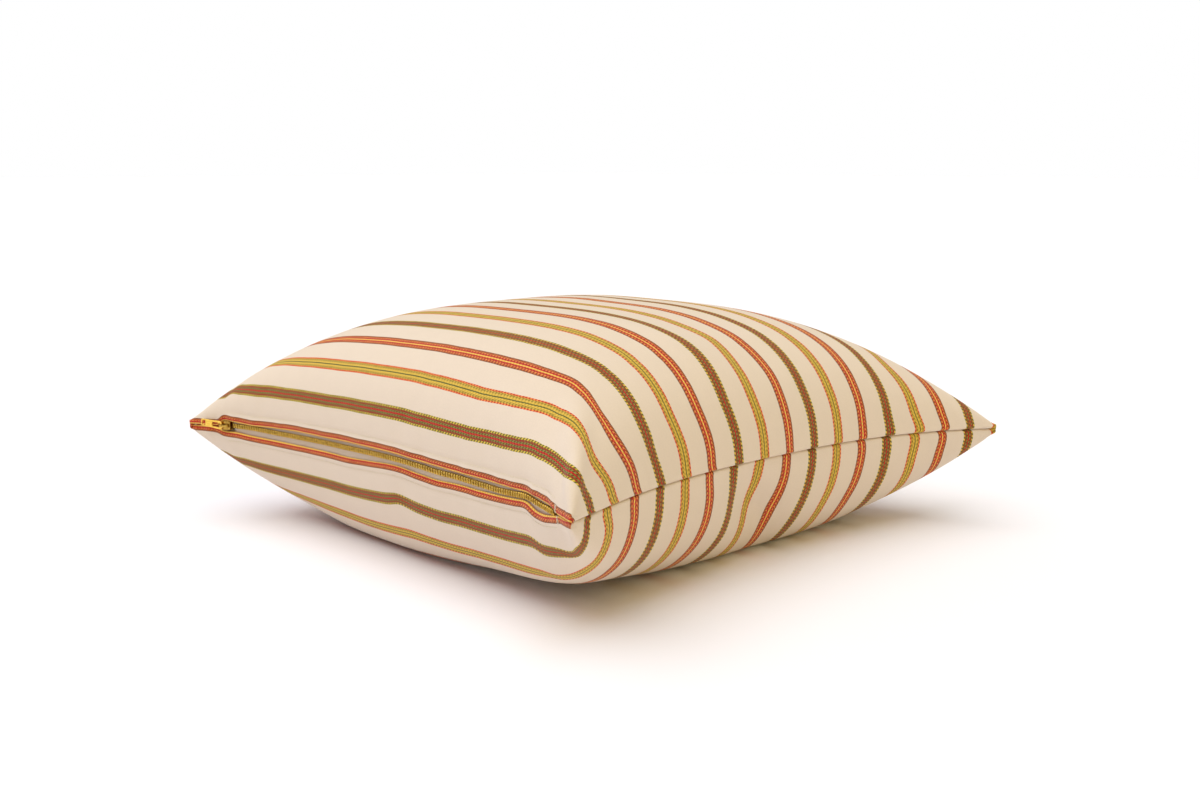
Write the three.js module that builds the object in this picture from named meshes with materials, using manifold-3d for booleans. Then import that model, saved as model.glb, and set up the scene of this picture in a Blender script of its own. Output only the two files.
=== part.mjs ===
// A square cushion cover of striped cloth, filled and lying on its back, with a brass zip in one edge.
// Millimetres. +Z is up. The zip runs along X in the -Y edge, and the origin lies on the surface under
// the middle of the outline. The cloth is 450 mm square before it is filled.

import * as THREE from 'three';
import Module from 'manifold-3d';
import { mergeVertices } from 'three/addons/utils/BufferGeometryUtils.js';

// Outline from above
const CLOTH_WIDTH = 450;
const TIP_REACH = 214;
const OUTLINE_MIDDLE_Y = 2.25;
const ZIP_EDGE = { drawIn: 33.5, power: 2.9 };
const SIDE_EDGE = { drawIn: 37, power: 2.65 };
const SHIFT_POWER = 3;
const LIFT_POWER = 14;

// Corner tips: the corner's side in X and Y, how far the tip is pulled off the square, the height that
// it lends to the seam of its quarter, and how far the last of the tip stands above that
const TIPS = [
  { x: 1, y: -1, shiftX: -6, shiftY: 4.5, seamHeight: 76, lift: 4.5 },
  { x: -1, y: -1, shiftX: 0, shiftY: 18, seamHeight: 68, lift: 0 },
  { x: 1, y: 1, shiftX: 0, shiftY: 0, seamHeight: 66.5, lift: 0 },
  { x: -1, y: 1, shiftX: 0, shiftY: 0, seamHeight: 68, lift: 0 },
];
const SEAM_BOW = 3;

// The two panels: how far each swells from the seam, and how full and how blunt it is in X and Y
const UPPER = { side: 1, swell: 90, fullX: 3, fullY: 3.05, bluntX: 0.46, bluntY: 0.41 };
const LOWER = { side: -1, swell: 102, fullX: 2.15, fullY: 2.95, bluntX: 0.375, bluntY: 0.445 };
const REST_BLEND = 6;

// Main folds, each a soft ridge (rise above 0) or trough. Its middle is given on the cloth, from the
// panel's centre, its turn is in degrees from +X, and its flanks are the half widths on the right and on
// the left of that direction
const FOLDS = [
  { panel: UPPER, x: 178, y: -178, turn: -45, halfLength: 55, flanks: [16, 16], rise: 8.5 },
  { panel: UPPER, x: 120, y: -30, turn: 15, halfLength: 55, flanks: [16, 16], rise: 3 },
  { panel: LOWER, x: 178, y: -178, turn: -45, halfLength: 50, flanks: [30, 30], rise: 3 },
  { panel: LOWER, x: 193, y: -6, turn: -20, halfLength: 40, flanks: [16, 16], rise: -9.5 },
  { panel: LOWER, x: 112, y: -152, turn: -27, halfLength: 65, flanks: [23, 66], rise: 2.6 },
  { panel: LOWER, x: 63, y: -92, turn: 6, halfLength: 55, flanks: [36, 60], rise: -17.5 },
  { panel: LOWER, x: 167, y: -191, turn: -84, halfLength: 40, flanks: [30, 27], rise: -6.5 },
];
const FOLD_FADE = 14;

// Seam and zip slot. Along the zip edge, from the left tip: half the slot above and below the chain
const SEAM_DEPTH = 1.2;
const SLOT_DEPTH = 3.2;
const SLOT = [
  { along: 0, above: 0.4, below: 0.4 },
  { along: 27, above: 0.4, below: 0.4 },
  { along: 33, above: 4.1, below: 4.1 },
  { along: 44, above: 4.1, below: 4.4 },
  { along: 60, above: 3.9, below: 5 },
  { along: 110, above: 4.9, below: 5.7 },
  { along: 223, above: 5, below: 3.9 },
  { along: 343, above: 4.3, below: 3.4 },
  { along: 374, above: 2.7, below: 2.8 },
  { along: 388, above: 2.9, below: 4.2 },
  { along: 400, above: 2.4, below: 3 },
  { along: 411, above: 0.4, below: 0.4 },
];
const SEAM_HALF_GAP = SLOT[0].above;
const LIP_FADE = 15;

// Zip tapes and teeth
const TAPE_FROM = 44;
const TAPE_TO = 400;
const TAPE_DEEP = 2.9;
const TAPE_THICK = 1;
const LIP_CLEARANCE = 0.35;
const MIDDLE_CLEARANCE = 0.2;
const CHAIN_TO = 376;
const CHAIN_HALF_WIDTH = 1.7;
const TOOTH_PITCH = 6;
const TOOTH_TIP_WIDTH = 1.9;
const TOOTH_FLANK = 0.7;
const TOOTH_REACH = 0.7;
const SPINE_WIDTH = 0.7;
const TOOTH_DEEP = 1.6;
const TOOTH_OUTER = 0.1;

// Slider and pull, both laid out from the slider's left end
const SLIDER_FROM = 33.5;
const SLIDER_LENGTH = 10;
const SLIDER_WIDTH = 7.4;
const SLIDER_NECK = 6.4;
const PLATE_THICK = 1;
const SLIDER_DEEP = 2.8;
const SLIDER_OUTER = 1.2;
const CORE_LENGTH = 5;
const CORE_WIDTH = 2;
const BRIDGE_WIDTH = 2;
const BRIDGE_INNER = 2.95;
const BRIDGE_OUTER = 3.7;
const BRIDGE_LEG = 1.4;
const PULL_LENGTH = 22.6;
const PULL_WIDTH = 5.4;
const PULL_CORNER = 1.2;
const PULL_THICK = 0.8;
const PULL_BAR = 1.3;
const PULL_EYE_LENGTH = 7.9;
const PULL_EYE_WIDTH = 3.2;
const PULL_LOOP_RIM = 0.95;
const PULL_LOOP_LENGTH = 3.1;
const PULL_LOOP_WIDTH = 3.6;
const PULL_CLEARANCE = 0.35;
const PULL_END_OUT = 3.6;
const PULL_END_UP = 3.4;

// Mesh fineness
const CLOTH_STEP = 11;
const CELLS_ACROSS = 34;
const SEAM_SAMPLES = 600;

const wasm = await Module();
wasm.setup();

function smooth(t) {
  return t * t * (3 - 2 * t);
}

// a and b run from -1 to 1 across the outline, in X and in Y
function tipShare(tip, a, b) {
  return ((1 + tip.x * a) / 2) * ((1 + tip.y * b) / 2);
}

function outlinePoint(a, b) {
  let x = a * (TIP_REACH - SIDE_EDGE.drawIn * (1 - Math.abs(b) ** SIDE_EDGE.power));
  let y = b * (TIP_REACH - ZIP_EDGE.drawIn * (1 - Math.abs(a) ** ZIP_EDGE.power));
  for (const tip of TIPS) {
    const share = tipShare(tip, a, b) ** SHIFT_POWER;
    x += tip.shiftX * share;
    y += tip.shiftY * share;
  }
  return [x, y - OUTLINE_MIDDLE_Y];
}

function seamHeight(a, b) {
  let height = SEAM_BOW * ((1 - b * b) * a * a + (1 - a * a) * b * b);
  for (const tip of TIPS) {
    const share = tipShare(tip, a, b);
    height += tip.seamHeight * share + tip.lift * share ** LIFT_POWER;
  }
  return height;
}

// Zip edge: points along the seam, with the cloth's arc length from the left tip
const seamPoints = [];
for (let i = 0; i <= SEAM_SAMPLES; i += 1) {
  const across = -1 + (2 * i) / SEAM_SAMPLES;
  const a = Math.sin((across * Math.PI) / 2);
  const [x, y] = outlinePoint(a, -1);
  const point = new THREE.Vector3(x, y, seamHeight(a, -1));
  const previous = seamPoints[i - 1];
  const along = previous ? previous.along + previous.point.distanceTo(point) : 0;
  seamPoints.push({ across, along, point });
}

function seamIndex(key, value) {
  const last = SEAM_SAMPLES - 1;
  const found = seamPoints.findIndex((sample) => sample[key] > value) - 1;
  return found < 0 ? (value <= seamPoints[0][key] ? 0 : last) : Math.min(found, last);
}

function seamShare(key, value, index) {
  const low = seamPoints[index][key];
  return (value - low) / (seamPoints[index + 1][key] - low);
}

function alongAt(across) {
  const index = seamIndex('across', across);
  const share = seamShare('across', across, index);
  return THREE.MathUtils.lerp(seamPoints[index].along, seamPoints[index + 1].along, share);
}

function acrossAt(along) {
  const index = seamIndex('along', along);
  const share = seamShare('along', along, index);
  return THREE.MathUtils.lerp(seamPoints[index].across, seamPoints[index + 1].across, share);
}

// The zip's own frame at an arc length: t along it, n out of the cloth, v up the slot
function zipFrame(along) {
  const index = seamIndex('along', along);
  const share = seamShare('along', along, index);
  const from = seamPoints[index].point;
  const to = seamPoints[index + 1].point;
  const t = to.clone().sub(from).normalize();
  const n = new THREE.Vector3(t.y, -t.x, 0).normalize();
  const v = n.clone().cross(t);
  return { origin: from.clone().lerp(to, share), t, n, v };
}

function zipPoint(along, out, up) {
  const frame = zipFrame(along);
  return frame.origin.clone().addScaledVector(frame.n, out).addScaledVector(frame.v, up);
}

function slotHalf(key, along) {
  const row = SLOT.findIndex((station) => station.along > along);
  if (row < 1) {
    return SEAM_HALF_GAP;
  }
  const from = SLOT[row - 1];
  const to = SLOT[row];
  const share = smooth((along - from.along) / (to.along - from.along));
  return THREE.MathUtils.lerp(from[key], to[key], share);
}

// Half the gap between the panels at the seam below or above a point of the cloth
function lipGap(panel, across, b) {
  const key = panel.side > 0 ? 'above' : 'below';
  const open = slotHalf(key, alongAt(across)) - SEAM_HALF_GAP;
  return SEAM_HALF_GAP + (open * (1 - b)) / 2;
}

function swellAt(panel, a, b) {
  const roundX = Math.max(0, 1 - Math.abs(a) ** panel.fullX) ** panel.bluntX;
  const roundY = Math.max(0, 1 - Math.abs(b) ** panel.fullY) ** panel.bluntY;
  return panel.swell * roundX * roundY;
}

// Cloth before its folds and before the surface under it flattens it
function freeCloth(panel, across, up) {
  const a = Math.sin((across * Math.PI) / 2);
  const b = Math.sin((up * Math.PI) / 2);
  const [x, y] = outlinePoint(a, b);
  const swell = swellAt(panel, a, b);
  const lip = lipGap(panel, across, b) * Math.exp(-swell / LIP_FADE);
  return new THREE.Vector3(x, y, seamHeight(a, b) + panel.side * (swell + lip));
}

function clothNormal(panel, across, up) {
  const reach = 0.004;
  const left = freeCloth(panel, Math.max(-1, across - reach), up);
  const right = freeCloth(panel, Math.min(1, across + reach), up);
  const low = freeCloth(panel, across, Math.max(-1, up - reach));
  const high = freeCloth(panel, across, Math.min(1, up + reach));
  const normal = right.sub(left).cross(high.sub(low));
  return normal.normalize().multiplyScalar(panel.side);
}

function foldRise(panel, across, up) {
  let rise = 0;
  for (const fold of FOLDS) {
    if (fold.panel === panel) {
      const turn = THREE.MathUtils.degToRad(fold.turn);
      const x = (across * CLOTH_WIDTH) / 2 - fold.x;
      const y = (up * CLOTH_WIDTH) / 2 - fold.y;
      const along = (x * Math.cos(turn) + y * Math.sin(turn)) / fold.halfLength;
      const aside = y * Math.cos(turn) - x * Math.sin(turn);
      const beside = aside / fold.flanks[aside < 0 ? 0 : 1];
      rise += fold.rise * Math.exp(-along * along - beside * beside);
    }
  }
  return rise;
}

function flatten(height) {
  if (height >= REST_BLEND) {
    return height;
  }
  return height <= -REST_BLEND ? 0 : (height + REST_BLEND) ** 2 / (4 * REST_BLEND);
}

function clothPoint(panel, across, up) {
  const point = freeCloth(panel, across, up);
  const a = Math.sin((across * Math.PI) / 2);
  const b = Math.sin((up * Math.PI) / 2);
  const fade = 1 - Math.exp(-swellAt(panel, a, b) / FOLD_FADE);
  const rise = foldRise(panel, across, up) * fade;
  if (Math.abs(rise) > 0.01) {
    point.addScaledVector(clothNormal(panel, across, up), rise);
  }
  point.z = flatten(point.z);
  return point;
}

// Collects points and faces for one closed body
class Body {
  constructor() {
    this.positions = [];
    this.faces = [];
  }

  add(point) {
    this.positions.push(point.x, point.y, point.z);
    return this.positions.length / 3 - 1;
  }

  quad(a, b, c, d) {
    this.faces.push(a, b, c, a, c, d);
  }

  geometry() {
    const geometry = new THREE.BufferGeometry();
    geometry.setAttribute('position', new THREE.Float32BufferAttribute(this.positions, 3));
    geometry.setIndex(this.faces);
    return geometry;
  }
}

// Columns of the cloth's grid: one at each station of the slot, and evenly between them
function clothColumns() {
  const marks = SLOT.map((station) => acrossAt(station.along));
  marks[0] = -1;
  marks.push(1);
  const columns = [-1];
  for (let i = 1; i < marks.length; i += 1) {
    const span = ((marks[i] - marks[i - 1]) * CLOTH_WIDTH) / 2;
    const parts = Math.ceil(span / CLOTH_STEP);
    for (let part = 1; part <= parts; part += 1) {
      columns.push(THREE.MathUtils.lerp(marks[i - 1], marks[i], part / parts));
    }
  }
  return columns;
}

function rimOrder(columns, rows) {
  const rim = [];
  for (let i = 0; i < columns - 1; i += 1) rim.push([i, 0]);
  for (let j = 0; j < rows - 1; j += 1) rim.push([columns - 1, j]);
  for (let i = columns - 1; i > 0; i -= 1) rim.push([i, rows - 1]);
  for (let j = rows - 1; j > 0; j -= 1) rim.push([0, j]);
  return rim;
}

function grooveDepth(across, up) {
  const along = alongAt(across);
  const gap = slotHalf('above', along) - SEAM_HALF_GAP;
  const open = up > -1 ? 0 : Math.min(1, gap / 2);
  return THREE.MathUtils.lerp(SEAM_DEPTH, SLOT_DEPTH, open);
}

const columns = clothColumns();

// Each cell of the grid is split towards the nearest corner tip, so that the ridges there stay clean
function cushionGeometry() {
  const body = new Body();
  const rows = Array.from({ length: CELLS_ACROSS + 1 }, (_, j) => -1 + (2 * j) / CELLS_ACROSS);
  const panelGrid = (panel) =>
    columns.map((across) => rows.map((up) => body.add(clothPoint(panel, across, up))));
  const upper = panelGrid(UPPER);
  const lower = panelGrid(LOWER);
  for (let i = 0; i < columns.length - 1; i += 1) {
    for (let j = 0; j < rows.length - 1; j += 1) {
      const ring = [[i, j], [i + 1, j], [i + 1, j + 1], [i, j + 1]];
      const sideX = Math.sign(columns[i] + columns[i + 1]);
      const sideY = Math.sign(rows[j] + rows[j + 1]);
      if (sideX * sideY < 0) {
        ring.push(ring.shift());
      }
      body.quad(...ring.map(([m, n]) => upper[m][n]));
      body.quad(...ring.map(([m, n]) => lower[m][n]).reverse());
    }
  }
  const rim = rimOrder(columns.length, rows.length);
  const pointOf = (index) => new THREE.Vector3().fromArray(body.positions, index * 3);
  const inner = rim.map(([i, j], k) => {
    const [pi, pj] = rim[(k + rim.length - 1) % rim.length];
    const [ni, nj] = rim[(k + 1) % rim.length];
    const run = pointOf(upper[ni][nj]).sub(pointOf(upper[pi][pj]));
    const inward = new THREE.Vector3(-run.y, run.x, 0).normalize();
    inward.multiplyScalar(grooveDepth(columns[i], rows[j]));
    const high = body.add(pointOf(upper[i][j]).add(inward));
    const low = body.add(pointOf(lower[i][j]).add(inward));
    return { high, low };
  });
  rim.forEach(([i, j], k) => {
    const next = (k + 1) % rim.length;
    const [ni, nj] = rim[next];
    body.quad(upper[i][j], inner[k].high, inner[next].high, upper[ni][nj]);
    body.quad(inner[k].high, inner[k].low, inner[next].low, inner[next].high);
    body.quad(inner[k].low, lower[i][j], lower[ni][nj], inner[next].low);
  });
  return body.geometry();
}

// A strip that follows the zip. section(along) gives its four corners as [out, up], and the first
// side looks out of the cloth
function zipStrip(stations, section) {
  const body = new Body();
  const rings = stations.map((along) =>
    section(along).map(([out, up]) => body.add(zipPoint(along, out, up))));
  for (let i = 0; i < rings.length - 1; i += 1) {
    for (let k = 0; k < 4; k += 1) {
      const next = (k + 1) % 4;
      body.quad(rings[i][k], rings[i + 1][k], rings[i + 1][next], rings[i][next]);
    }
  }
  const [a, b, c, d] = rings[0];
  body.quad(a, b, c, d);
  const [e, f, g, h] = rings[rings.length - 1];
  body.quad(h, g, f, e);
  return body.geometry();
}

function rectangle(outer, inner, low, high) {
  return [[outer, low], [outer, high], [inner, high], [inner, low]];
}

function tapeGeometry(side) {
  const key = side > 0 ? 'above' : 'below';
  const reach = 0.01;
  const inSlot = (along) => along > TAPE_FROM - reach && along < TAPE_TO + reach;
  const stations = columns.map(alongAt).filter(inSlot);
  return zipStrip(stations, (along) => {
    const edge = slotHalf(key, along) - LIP_CLEARANCE;
    const low = side > 0 ? MIDDLE_CLEARANCE : -edge;
    const high = side > 0 ? edge : -MIDDLE_CLEARANCE;
    return rectangle(TAPE_THICK - TAPE_DEEP, -TAPE_DEEP, low, high);
  });
}

// A row of teeth on a narrow spine. The lower row is half a pitch on, so its teeth stand between
// those of the upper one
function teethGeometry(side) {
  const first = TAPE_FROM + (side > 0 ? 0 : TOOTH_PITCH / 2);
  const stations = [];
  const tips = [];
  for (let start = first; start + TOOTH_PITCH < CHAIN_TO; start += TOOTH_PITCH) {
    const tipFrom = start + TOOTH_FLANK;
    const tipTo = tipFrom + TOOTH_TIP_WIDTH;
    stations.push(start, tipFrom, tipTo, tipTo + TOOTH_FLANK);
    tips.push(tipFrom, tipTo);
  }
  const spine = CHAIN_HALF_WIDTH - SPINE_WIDTH;
  return zipStrip(stations, (along) => {
    const reach = tips.includes(along) ? -TOOTH_REACH : spine;
    const low = side > 0 ? reach : -CHAIN_HALF_WIDTH;
    const high = side > 0 ? CHAIN_HALF_WIDTH : -reach;
    return rectangle(-TOOTH_OUTER, -TOOTH_DEEP, low, high);
  });
}

function toSolid(geometry) {
  const plain = geometry.clone();
  plain.deleteAttribute('normal');
  plain.deleteAttribute('uv');
  const merged = mergeVertices(plain);
  return new wasm.Manifold(new wasm.Mesh({
    numProp: 3,
    vertProperties: new Float32Array(merged.attributes.position.array),
    triVerts: new Uint32Array(merged.index.array),
  }));
}

function toGeometry(solid) {
  const mesh = solid.getMesh();
  const geometry = new THREE.BufferGeometry();
  geometry.setAttribute('position', new THREE.Float32BufferAttribute(mesh.vertProperties, 3));
  geometry.setIndex(Array.from(mesh.triVerts));
  return geometry;
}

function boxBetween(low, high) {
  const size = [0, 1, 2].map((k) => high[k] - low[k]);
  const centre = [0, 1, 2].map((k) => (high[k] + low[k]) / 2);
  return new THREE.BoxGeometry(...size).translate(...centre);
}

// A plate of the slider: wide where the tapes part, narrow where the closed chain leaves
function sliderPlate(bottom) {
  const wide = SLIDER_WIDTH / 2;
  const neck = SLIDER_NECK / 2;
  const shape = new THREE.Shape();
  shape.moveTo(1, -wide);
  shape.lineTo(SLIDER_LENGTH * 0.55, -wide);
  shape.lineTo(SLIDER_LENGTH, -neck);
  shape.lineTo(SLIDER_LENGTH, neck);
  shape.lineTo(SLIDER_LENGTH * 0.55, wide);
  shape.lineTo(1, wide);
  shape.quadraticCurveTo(-1, 0, 1, -wide);
  const plate = new THREE.ExtrudeGeometry(shape, {
    depth: PLATE_THICK,
    bevelEnabled: false,
    curveSegments: 6,
  });
  return plate.translate(0, 0, bottom);
}

function sliderGeometry() {
  const middle = SLIDER_LENGTH / 2;
  const half = CORE_WIDTH / 2;
  const core = boxBetween(
    [middle - CORE_LENGTH / 2, -half, -SLIDER_DEEP],
    [middle + CORE_LENGTH / 2, half, SLIDER_OUTER],
  );
  const bridge = BRIDGE_WIDTH / 2;
  const leg = (from) =>
    boxBetween([from, -bridge, SLIDER_OUTER - PLATE_THICK / 2], [from + BRIDGE_LEG, bridge, BRIDGE_OUTER]);
  const rail = boxBetween([1, -bridge, BRIDGE_INNER], [SLIDER_LENGTH - 1, bridge, BRIDGE_OUTER]);
  const pieces = [
    sliderPlate(-SLIDER_DEEP),
    sliderPlate(SLIDER_OUTER - PLATE_THICK),
    core,
    leg(1),
    leg(SLIDER_LENGTH - 1 - BRIDGE_LEG),
    rail,
  ];
  const solid = pieces.map(toSolid).reduce((sum, piece) => sum.add(piece));
  return toGeometry(solid);
}

function rectangleHole(from, to, width) {
  const hole = new THREE.Path();
  hole.moveTo(from, -width / 2);
  hole.lineTo(from, width / 2);
  hole.lineTo(to, width / 2);
  hole.lineTo(to, -width / 2);
  hole.lineTo(from, -width / 2);
  return hole;
}

// The pull lies from its bar, under the bridge, towards -X of its own frame
function pullGeometry() {
  const half = PULL_WIDTH / 2;
  const shape = new THREE.Shape();
  shape.moveTo(0, -half);
  shape.lineTo(0, half);
  shape.lineTo(PULL_CORNER - PULL_LENGTH, half);
  shape.lineTo(-PULL_LENGTH, half - PULL_CORNER);
  shape.lineTo(-PULL_LENGTH, PULL_CORNER - half);
  shape.lineTo(PULL_CORNER - PULL_LENGTH, -half);
  shape.lineTo(0, -half);
  const loopFrom = PULL_LOOP_RIM - PULL_LENGTH;
  shape.holes.push(
    rectangleHole(-PULL_BAR, -PULL_BAR - PULL_EYE_LENGTH, PULL_EYE_WIDTH),
    rectangleHole(loopFrom + PULL_LOOP_LENGTH, loopFrom, PULL_LOOP_WIDTH),
  );
  const pull = new THREE.ExtrudeGeometry(shape, {
    depth: PULL_THICK,
    bevelEnabled: false,
  });
  return pull.translate(0, 0, -PULL_THICK / 2);
}

function cloth(color) {
  return new THREE.MeshStandardMaterial({ color, roughness: 0.9, metalness: 0 });
}

function brass(color) {
  return new THREE.MeshStandardMaterial({ color, roughness: 0.35, metalness: 1 });
}

function mesh(name, geometry, material) {
  const piece = new THREE.Mesh(geometry, material);
  piece.name = name;
  return piece;
}

function turnTo(piece, x, y, z, place) {
  piece.quaternion.setFromRotationMatrix(new THREE.Matrix4().makeBasis(x, y, z));
  piece.position.copy(place);
  return piece;
}

function slider() {
  const { t, n, v } = zipFrame(SLIDER_FROM + SLIDER_LENGTH / 2);
  const middle = zipPoint(SLIDER_FROM + SLIDER_LENGTH / 2, 0, 0);
  const place = middle.addScaledVector(t, -SLIDER_LENGTH / 2);
  return turnTo(mesh('zip_slider', sliderGeometry(), brass(0xa8853a)), t, v, n, place);
}

// The pull hangs by its eye on the bridge's left leg, its free end a little up and off the cloth
function pull() {
  const barAlong = SLIDER_FROM + 1 + BRIDGE_LEG + PULL_CLEARANCE + PULL_BAR / 2;
  const pivot = zipPoint(barAlong, (SLIDER_OUTER + BRIDGE_INNER) / 2, 0);
  const end = zipPoint(barAlong + PULL_BAR / 2 - PULL_LENGTH, PULL_END_OUT, PULL_END_UP);
  const x = pivot.clone().sub(end).normalize();
  const n = zipFrame(barAlong).n;
  const y = n.clone().cross(x).normalize();
  const z = x.clone().cross(y);
  const place = pivot.addScaledVector(x, PULL_BAR / 2);
  return turnTo(mesh('zip_pull', pullGeometry(), brass(0xe0b84a)), x, y, z, place);
}

const cover = new THREE.Group();
cover.add(
  mesh('cushion', cushionGeometry(), cloth(0xe8d9c0)),
  mesh('zip_tape_upper', tapeGeometry(1), cloth(0xb9a690)),
  mesh('zip_tape_lower', tapeGeometry(-1), cloth(0xb9a690)),
  mesh('zip_teeth_upper', teethGeometry(1), brass(0xb99a3c)),
  mesh('zip_teeth_lower', teethGeometry(-1), brass(0xb99a3c)),
  slider(),
  pull(),
);

export default cover;
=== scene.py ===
"""A filled cushion cover of striped cloth, with a brass zip in one edge, in a plain pale studio.

Lengths are in millimetres until a mesh is made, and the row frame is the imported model's own: +Z up, the
zip along X in the -Y edge, the origin on the floor under the middle of the outline.
"""

import math

import bmesh
import bpy
import numpy as np
from mathutils import Matrix, Vector


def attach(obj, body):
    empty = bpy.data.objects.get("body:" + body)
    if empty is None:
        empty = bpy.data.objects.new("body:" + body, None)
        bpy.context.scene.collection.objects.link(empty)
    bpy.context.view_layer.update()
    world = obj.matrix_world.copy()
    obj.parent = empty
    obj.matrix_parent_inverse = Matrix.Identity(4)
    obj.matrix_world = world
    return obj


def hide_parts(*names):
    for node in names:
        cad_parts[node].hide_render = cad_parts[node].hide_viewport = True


MM = 0.001

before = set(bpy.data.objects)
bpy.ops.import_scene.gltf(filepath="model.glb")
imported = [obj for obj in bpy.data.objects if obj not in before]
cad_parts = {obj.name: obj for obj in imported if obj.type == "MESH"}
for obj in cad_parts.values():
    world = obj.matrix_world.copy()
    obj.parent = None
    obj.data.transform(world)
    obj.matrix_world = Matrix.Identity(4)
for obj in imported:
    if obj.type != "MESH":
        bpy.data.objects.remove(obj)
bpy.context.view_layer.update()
scene = bpy.context.scene

# Camera: it looks from in front of the near corner, a little above the cushion
CAMERA_TARGET = (0, -2.25, 70)
CAMERA_DISTANCE = 950
CAMERA_AZIMUTH = 45.5
CAMERA_ELEVATION = 11.5
LOOK_AZIMUTH = 44.7
LOOK_ELEVATION = 10.43
LENS_MM = 38.92
SENSOR_MM = 36

# Cloth, its outline from above and its corner tips, as the solid has them but for the near tip's point
CLOTH_WIDTH = 450
HALF_CLOTH = CLOTH_WIDTH / 2
TIP_REACH = 214
OUTLINE_MIDDLE_Y = 2.25
ZIP_EDGE = {"draw_in": 33.5, "power": 2.9}
SIDE_EDGE = {"draw_in": 37, "power": 2.65}
SHIFT_POWER = 3
POINT_POWER = 14
TIPS = [
    {"x": 1, "y": -1, "shift_x": -6, "shift_y": 4.5, "height": 76, "point": (-1.8, -1.8, 3)},
    {"x": -1, "y": -1, "shift_x": 0, "shift_y": 18, "height": 68, "point": (0, 0, 0)},
    {"x": 1, "y": 1, "shift_x": 0, "shift_y": 0, "height": 66.5, "point": (0, 0, 0)},
    {"x": -1, "y": 1, "shift_x": 0, "shift_y": 0, "height": 68, "point": (0, 0, 0)},
]
SEAM_BOW = 3

# Turned-out corners: how much the last of each tip is padded, how fast that rises from the seam and
# fades from the tip, how far its point is rounded off, and how the seam's gap closes towards it
NOSE_HEIGHT = 5
NOSE_EDGE = 3.4
NOSE_LENGTH = 16
POINT_CUT = 1.4
POINT_LENGTH = 2.5
POINT_REACH = 1.5
CLOSED_LENGTH = 12
CLOSED_SHARE = 0.85

# Panels: the swell over the seam, and how full and how blunt it is in X and Y
UPPER = {"side": 1, "swell": 90, "full_x": 3, "full_y": 3.05, "blunt_x": 0.46, "blunt_y": 0.41}
LOWER = {"side": -1, "swell": 102, "full_x": 2.15, "full_y": 2.95, "blunt_x": 0.375, "blunt_y": 0.445}
REST_BLEND = 6

# Folds and dents of the upper panel (1) and the lower one (-1): the middle on the cloth from the panel's
# centre, the turn in degrees from +X, and the widths of the two flanks, the first on the right of the
# fold's own direction
FOLDS = {
    1: [
        {"x": 178, "y": -178, "turn": -45, "length": 55, "flanks": (16, 16), "rise": 8.5},
        {"x": 120, "y": -30, "turn": 15, "length": 55, "flanks": (16, 16), "rise": 3},
        {"x": 162, "y": -186, "turn": 96, "length": 26, "flanks": (9, 9), "rise": -1.4},
        {"x": 15, "y": -203, "turn": 88, "length": 24, "flanks": (6, 6), "rise": -0.9},
        {"x": -103, "y": -205, "turn": 92, "length": 20, "flanks": (6, 6), "rise": -0.7},
        {"x": 74, "y": -207, "turn": 84, "length": 18, "flanks": (5, 5), "rise": -0.6},
    ],
    -1: [
        {"x": 178, "y": -178, "turn": -45, "length": 50, "flanks": (30, 30), "rise": 3},
        {"x": 193, "y": -6, "turn": -20, "length": 40, "flanks": (16, 16), "rise": -9.5},
        {"x": 112, "y": -152, "turn": -27, "length": 65, "flanks": (23, 66), "rise": 2.6},
        {"x": 63, "y": -92, "turn": 6, "length": 55, "flanks": (36, 60), "rise": -17.5},
        {"x": 167, "y": -191, "turn": -84, "length": 40, "flanks": (30, 27), "rise": -6.5},
        {"x": 157, "y": -214, "turn": 30, "length": 13, "flanks": (4, 4), "rise": 1.1},
        {"x": 207, "y": -204, "turn": -38, "length": 15, "flanks": (6, 6), "rise": -2.2},
        {"x": 14, "y": -205, "turn": 95, "length": 26, "flanks": (7, 7), "rise": -1.2},
    ],
}
FOLD_FADE = 14

# Small unevenness: puckers along the seams and soft dents over the panels, from seeded random numbers
PUCKER_SEED = 11
PUCKER_WAVES = 26
PUCKER_LENGTH = (9, 40)
PUCKER_HEIGHT = 0.13
PUCKER_START = 1.5
PUCKER_FADE = 12
DENT_SEED = 5
DENT_COUNT = 42
DENT_HEIGHT = 0.7
DENT_WIDTH = (16, 42)
UNEVEN_FROM = 30

# The row of stitches beside the zip, and the shallow furrow that it draws in the cloth
TOPSTITCH = {
    "from": 36, "to": 403, "distance": 7.5, "pitch": 2.5, "length": 1.8, "thick": 0.4, "proud": 0.1,
}
FURROW_DEEP = 0.38
FURROW_WIDTH = 1.3
FURROW_END = 8
PUFF_HEIGHT = 0.6
PUFF_WIDTH = 2.4

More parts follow.
